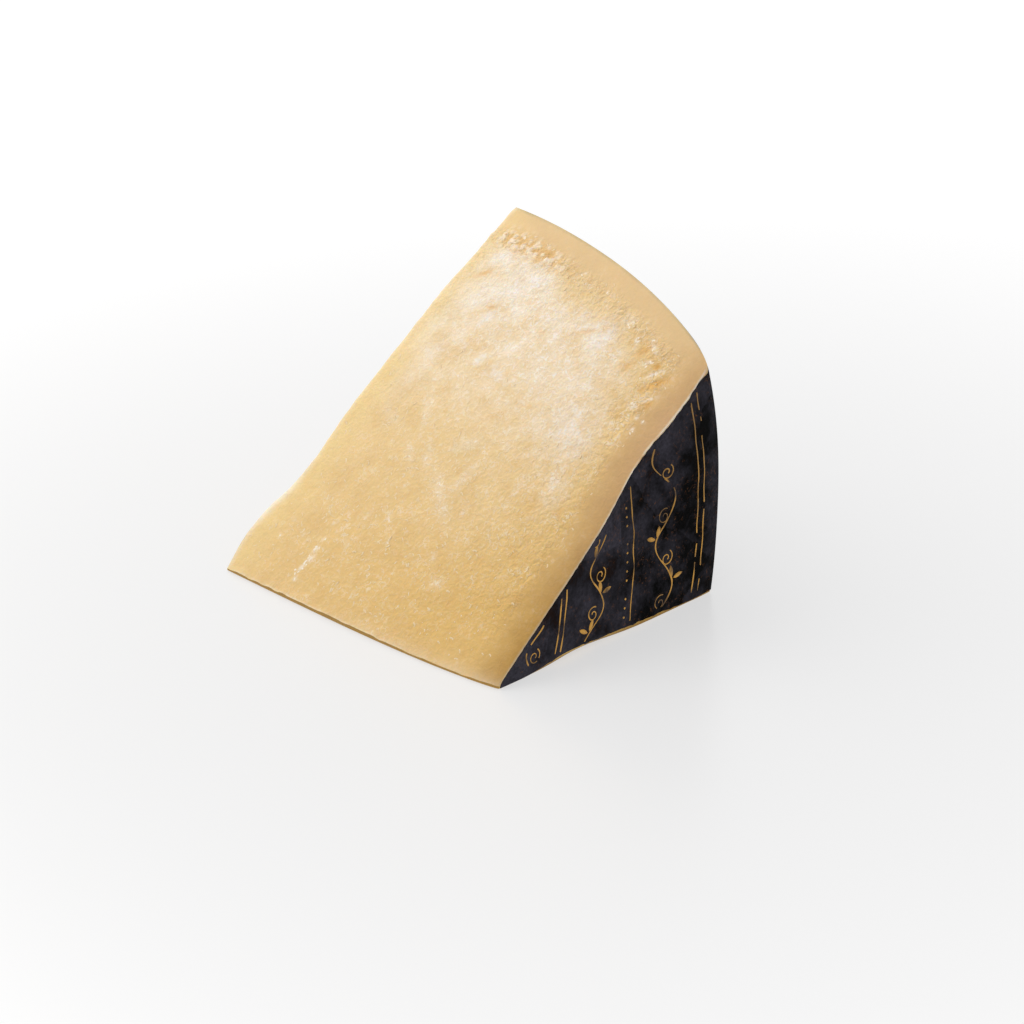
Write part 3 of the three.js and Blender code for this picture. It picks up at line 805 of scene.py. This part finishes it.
def coatMaterial():
    # Plastic cheese coating, brushed on thin: near-black and satin, with slate mottling and a painted sheen,
    # brown stains and fine cracks
    look = dict(black="#040404", slateAndSheen="#39373F", brown="#20120D", crack="#5B3A22",
                cloud=16.0, fine=0.9, crackle=7.0, panel=30.0, bend=4.0, slateFrom=2.0, slateFull=-20.0)
    material, tree, shader, place = newMaterial("blackCheeseCoating", {
        "Specular IOR Level": 0.02, "IOR": 1.48})
    value = {}
    for name, detail, roughness, twist in (("cloud", 8.0, 0.7, 0.0), ("fine", 4.0, 0.65, 0.0),
                                           ("crackle", 5.0, 0.6, 0.6)):
        value[name] = addNode(tree, "ShaderNodeTexNoise", {
            "Vector": place, "Scale": 1 / (look[name] * mm), "Detail": detail, "Roughness": roughness,
            "Distortion": twist})
    # overlapping coats end in faint borders, bent by the crackle
    bent = addNode(tree, "ShaderNodeVectorMath", {
        0: value["crackle"].outputs["Color"], 1: (look["bend"] * mm,) * 3, 2: place},
        operation="MULTIPLY_ADD")
    panel = addNode(tree, "ShaderNodeTexVoronoi", {
        "Vector": bent, "Scale": 1 / (look["panel"] * mm)}, feature="F1")
    value["lot"] = addNode(tree, "ShaderNodeSeparateColor", {0: panel.outputs["Color"]})
    below = addNode(tree, "ShaderNodeVectorMath", {0: place, 1: (0, 1, -0.35)}, operation="DOT_PRODUCT")
    value["below"] = below.outputs["Value"]
    addSteps(tree, value, (
        # painted sheen: slate grey gathers low, below the upper cut
        ("paintedSheen", "RANGE", "below", look["slateFrom"] * mm, look["slateFull"] * mm, 0.0, 0.16),
        ("laid", "ADD", "cloud", "paintedSheen"), ("laid", "MULTIPLY_ADD", "lot", 0.12, "laid"),
        ("share", "RANGE", "laid", 0.54, 0.82), ("warm", "RANGE", "cloud", 0.44, 0.36, 0.0, 0.8),
        ("ridge", "COMPARE", "crackle", 0.47, 0.006), ("broken", "RANGE", "fine", 0.46, 0.6, 0.0, 0.7),
        ("cracks", "MULTIPLY", "ridge", "broken"),
        ("colour", "OVER", "share", look["black"], look["slateAndSheen"]),
        ("colour", "OVER", "warm", "colour", look["brown"]),
        ("colour", "OVER", "cracks", "colour", look["crack"]),
        ("grain", "RANGE", "fine", 0.3, 0.7, 0.65, 1.4), ("colour", "SCALE", "colour", "grain"),
        ("shine", "RANGE", "fine", 0.0, 1.0, 0.36, 0.62), ("height", "MULTIPLY_ADD", "cloud", 2.5, "fine")))
    uneven = addNode(tree, "ShaderNodeBump", {
        "Height": value["height"], "Strength": 0.6, "Distance": 0.25 * mm})
    setInputs(tree, shader, {"Base Color": value["colour"], "Roughness": value["shine"], "Normal": uneven})
    return material


coatPoints, coatFaces, coatFront = coatArrays()
rindCoat = newPiece("rindCoat", coatPoints + toFrame, coatFaces, coatMaterial())
rindCoat.data.set_sharp_from_angle(angle=coat["sharpAngle"])
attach(rindCoat, "root")
print("rind coat:", len(rindCoat.data.polygons), "faces")

# Gold ornament printed on the coat: rings round the drum's axis, and vines with leaves and dots between them
ornament = dict(
    lineWidth=0.36, sway=0.35, proud=0.04, sunk=0.12, step=0.7, margin=1.2, wear=0.62,
    stemWidth=1.15, curlWidth=0.85,      # as shares of the line's width
    leafLong=3.6, leafWide=1.3, leafRoot=0.5, leafLean=0.75, leafTurn=0.5, dotSize=0.7, dotPitch=2.6,
    curl=2.3, curlTurn=2.6 * np.pi, curlSteps=34, curlShrink=0.8,
    flatSpan=(-0.40, 0.30), flatRings=(151.0, 148.6, 124.0, 97.5, 95.6), flatDots=(121.4,),
    flatVines=((136.5, 3.6, 25.0), (109.5, 3.2, 21.0), (87.0, 2.6, 17.0)),      # middle, swing and length
    rimSpan=(-0.16, 0.36), rimRings=(100.0, 97.6, 73.0, 46.0, 44.0, 19.0), rimDots=(70.4, 21.6),
    rimVines=((85.5, 3.8, 26.0), (58.5, 3.6, 24.0), (32.5, 3.4, 22.0), (9.0, 2.8, 20.0)),
    rimUntil=102.5, shoulderAt=104.0,    # the print stops short of the drum's edge
)
coatSurface = BVHTree.FromPolygons([Vector(p) for p in coatPoints], [list(map(int, f)) for f in coatFront])
rimReach = 180.0                # millimetres of rim for a turn of one radian
flatOff, rimOff = 40.0, 260.0   # the print is laid on from here: off the flat rind, and off the drum's axis


def flatPlace(across, turn):
    # plane of the flat rind: distance from the drum's axis and angle, as y and z
    return np.stack([across * np.cos(turn) - chunk["axisBack"],
                     across * np.sin(turn) + chunk["axisHeight"]], -1)


def rimPlace(across, turn):
    # rim unrolled: x and millimetres round the drum
    return np.stack([across + 0 * turn, turn * rimReach], -1)


def settle(surface, spot):
    if surface == "flat":
        hit = coatSurface.ray_cast(Vector((chunk["edgeLength"] + flatOff, *spot)), Vector((-1, 0, 0)))
    else:
        turn = spot[1] / rimReach
        out = Vector((0, math.cos(turn), math.sin(turn)))
        axis = Vector((spot[0], -chunk["axisBack"], chunk["axisHeight"]))
        hit = coatSurface.ray_cast(axis + out * rimOff, -out)
    return hit[0], hit[1]


def printable(surface, path):
    # inside the coat's borders, and not where the print is worn away
    o, m = ornament, ornament["margin"]
    if surface == "flat":
        y, z = path.T
        below = y * cutSin - (z - chunk["bluntHeight"]) * cutCos
        reach = np.hypot(y + chunk["axisBack"], z - chunk["axisHeight"])
        inside = (z > 2 * m) & (below > m) & (reach < rimRadius(o["shoulderAt"]) - m)
        spot = np.stack([y, z, 0 * y], -1)
    else:
        x, arc = path.T
        turn = arc / rimReach
        foot, top = rimTurns(np.clip(x, 0, chunk["edgeLength"]))
        inside = (turn > foot + 2.5 * m / rimReach) & (turn < top - m / rimReach) & (x < o["rimUntil"])
        inside &= x > innerCutAt(1.0, (turn - foot) / (top - foot)) + m
        spot = np.stack([x, arc, 0 * x + 50], -1)
    return inside & (waves(spot, 5.0, 31) + 0.5 * waves(spot, 1.7, 32) < o["wear"])


class Print:
    def __init__(self):
        self.points, self.faces = [], []

    def addLoops(self, loops):
        # joins rings of points into a closed bar
        start, around = len(self.points), len(loops[0])
        for loop in loops:
            self.points += loop
        for row in range(len(loops) - 1):
            for k in range(around):
                a, b = start + row * around + k, start + row * around + (k + 1) % around
                self.faces.append((a, b, b + around, a + around))
        last = start + (len(loops) - 1) * around
        self.faces.append(tuple(range(start, start + around))[::-1])
        self.faces.append(tuple(range(last, last + around)))

    def addLine(self, surface, path, width):
        spot = np.stack([*path.T, 0 * path[:, 0] + 7], -1)
        path = path + ornament["sway"] * np.stack([waves(spot, 5.0, 34), waves(spot, 5.0, 35)], -1)
        keep = printable(surface, path)
        way = np.gradient(path, axis=0)
        way /= np.linalg.norm(way, axis=1, keepdims=True) + 1e-9
        brush = 1 + 0.5 * waves(spot, 2.6, 33)
        side = np.stack([-way[:, 1], way[:, 0]], -1) * (brush * width / 2)[:, None]
        loops = []
        for i in range(len(path) + 1):
            hits = []
            if i < len(path) and keep[i]:
                hits = [settle(surface, path[i] + side[i]), settle(surface, path[i] - side[i])]
            if len(hits) == 2 and hits[0][0] and hits[1][0]:
                (left, leftUp), (right, rightUp) = hits
                loops.append([left + leftUp * ornament["proud"], left - leftUp * ornament["sunk"],
                              right - rightUp * ornament["sunk"], right + rightUp * ornament["proud"]])
            else:
                if len(loops) > 2:
                    self.addLoops(loops)
                loops = []

    def addPatch(self, surface, outline):
        if not printable(surface, outline).all():
            return
        hits = [settle(surface, spot) for spot in outline]
        if all(hit[0] for hit in hits):
            top = [hit[0] + hit[1] * ornament["proud"] for hit in hits]
            low = [hit[0] - hit[1] * ornament["sunk"] for hit in hits]
            self.addLoops([low, top])


def leafOutline(angle):
    o = ornament
    t = np.linspace(0, 1, 7)
    edge = np.sin(np.pi * t) ** 0.8 * o["leafWide"] / 2
    run = np.concatenate([t, t[-2:0:-1]]) * o["leafLong"] + o["leafRoot"]
    off = np.concatenate([edge, -edge[-2:0:-1]])
    return np.stack([run * math.cos(angle) - off * math.sin(angle),
                     run * math.sin(angle) + off * math.cos(angle)], -1)


def drawVine(sheet, surface, place, span, reach, across, swing, length):
    # a winding stem, with a curl from each bend and two leaves between
    o = ornament
    turn = np.arange(*span, o["step"] / reach)
    stem = place(across + swing * np.sin(turn * reach / length * 2 * np.pi), turn)
    sheet.addLine(surface, stem, o["lineWidth"] * o["stemWidth"])
    wind = np.linspace(0, o["curlTurn"], o["curlSteps"])
    radius = o["curl"] * (1 - o["curlShrink"] * wind / wind[-1])
    for half, at in enumerate(np.arange(*span, length / 2 / reach)):
        sign = 1 if half % 2 == 0 else -1
        centre = place(across - sign * 0.2 * swing, np.array([at + length / 4 / reach]))[0]
        curl = centre + radius[:, None] * np.stack([np.cos(wind * sign + 1), np.sin(wind * sign + 1)], -1)
        sheet.addLine(surface, curl, o["lineWidth"] * o["curlWidth"])
        root = place(across + swing * math.sin(at * reach / length * 2 * math.pi), np.array([at]))[0]
        here, ahead = place(across, np.array([at, at + 0.01]))
        way = math.atan2(ahead[1] - here[1], ahead[0] - here[0])
        for lean in (-o["leafLean"], o["leafLean"]):
            sheet.addPatch(surface, root + leafOutline(way + lean + sign * o["leafTurn"]))


def drawBands(sheet, surface, place):
    o = ornament
    span = o[surface + "Span"]
    corner = np.linspace(0, 2 * np.pi, 9)[:-1]
    dot = o["dotSize"] / 2 * np.stack([np.cos(corner), np.sin(corner)], -1)
    reach = dict(flat=lambda across: across, rim=lambda across: rimReach)[surface]
    for across in o[surface + "Rings"]:
        turn = np.arange(*span, o["step"] / reach(across))
        sheet.addLine(surface, place(across, turn), o["lineWidth"])
    for across in o[surface + "Dots"]:
        for turn in np.arange(*span, o["dotPitch"] / reach(across)):
            sheet.addPatch(surface, place(across, np.array([turn]))[0] + dot)
    for across, swing, length in o[surface + "Vines"]:
        drawVine(sheet, surface, place, span, reach(across), across, swing, length)


def goldMaterial():
    # Bronze-gold printing ink: metallic flakes in varnish, rubbed brown in places and higher up
    look = dict(gold="#D49D3E", brown="#573C1B", wear=6.0, rubbedFrom=15.0, rubbedFull=50.0)
    material, tree, shader, place = newMaterial("goldPrintingInk", {"Metallic": 0.25, "Roughness": 0.45})
    value = dict(tall=addNode(tree, "ShaderNodeSeparateXYZ", {0: place}).outputs[2])
    value["rub"] = addNode(tree, "ShaderNodeTexNoise", {
        "Vector": place, "Scale": 1 / (look["wear"] * mm), "Detail": 4.0})
    addSteps(tree, value, (
        ("share", "RANGE", "rub", 0.46, 0.66),
        ("handled", "RANGE", "tall", look["rubbedFrom"] * mm, look["rubbedFull"] * mm, 0.0, 0.65),
        ("rubbed", "MAXIMUM", "share", "handled"), ("colour", "OVER", "rubbed", look["gold"], look["brown"])))
    setInputs(tree, shader, {"Base Color": value["colour"]})
    return material


sheet = Print()
drawBands(sheet, "flat", flatPlace)
drawBands(sheet, "rim", rimPlace)
goldPrint = newPiece("goldPrint", np.array(sheet.points) + toFrame, sheet.faces, goldMaterial())
shell = bmesh.new()
shell.from_mesh(goldPrint.data)
bmesh.ops.recalc_face_normals(shell, faces=shell.faces)
shell.to_mesh(goldPrint.data)
shell.free()
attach(goldPrint, "root")
print("gold ornament:", len(goldPrint.data.polygons), "faces")

# Camera, floor and light
view = dict(aimX=-23.05, aimY=29.58, azimuth=44.22, elevation=23.99, distance=1143.0, lens=140.6, sensor=36.0)
stage = dict(half=3.0, drop=-0.0002, glowZone=(0.06, 0.45), glow=(0.575, 0.75), sky=0.64)     # in metres


def addCamera():
    turn, tilt = math.radians(view["azimuth"]), math.radians(view["elevation"])
    back = Vector((math.sin(turn) * math.cos(tilt), -math.cos(turn) * math.cos(tilt), math.sin(tilt)))
    data = bpy.data.cameras.new("photoCamera")
    data.lens = view["lens"]
    data.sensor_width = view["sensor"]
    camera = bpy.data.objects.new("photoCamera", data)
    camera.location = Vector((view["aimX"], view["aimY"], 0)) * mm + back * view["distance"] * mm
    camera.rotation_euler = back.to_track_quat("Z", "Y").to_euler()
    bpy.context.collection.objects.link(camera)
    bpy.context.scene.camera = camera


def addSoftbox(name, place, aim, size, power, colour):
    data = bpy.data.lights.new(name, "AREA")
    data.size = size
    data.energy = power
    data.color = toLinear(colour)[:3]
    lamp = bpy.data.objects.new(name, data)
    lamp.location = place
    lamp.rotation_euler = (Vector(place) - Vector(aim)).to_track_quat("Z", "Y").to_euler()
    bpy.context.collection.objects.link(lamp)


def addStage():
    s = stage
    mesh = bpy.data.meshes.new("paleFloor")
    corners = [(x * s["half"], y * s["half"], s["drop"]) for x, y in ((-1, -1), (1, -1), (1, 1), (-1, 1))]
    mesh.from_pydata(corners, [], [(0, 1, 2, 3)])
    floor = bpy.data.objects.new("paleFloor", mesh)
    bpy.context.collection.objects.link(floor)
    # lit white acrylic: it glows a little more away from the middle
    material, tree, shader, place = newMaterial("paleFloor", {
        "Emission Color": (1, 1, 1, 1), "Base Color": toLinear("#8E8E8F"), "Roughness": 0.3})
    away = addNode(tree, "ShaderNodeVectorMath", {0: place}, operation="LENGTH")
    value = dict(away=away.outputs["Value"])
    addSteps(tree, value, [("glow", "SMOOTH", "away", *s["glowZone"], *s["glow"])])
    setInputs(tree, shader, {"Emission Strength": value["glow"]})
    mesh.materials.append(material)
    world = bpy.context.scene.world or bpy.data.worlds.new("softRoom")
    bpy.context.scene.world = world
    world.use_nodes = True
    sky = world.node_tree.nodes["Background"]
    sky.inputs["Color"].default_value = (1, 1, 1, 1)
    sky.inputs["Strength"].default_value = s["sky"]


addCamera()
addStage()
addSoftbox("keyAbove", (-0.42, -0.08, 0.55), (0, 0, 0.03), 0.6, 2.4, "#FFFDF8")
bpy.context.scene.view_settings.view_transform = "Standard"
print("camera, floor and light ready")
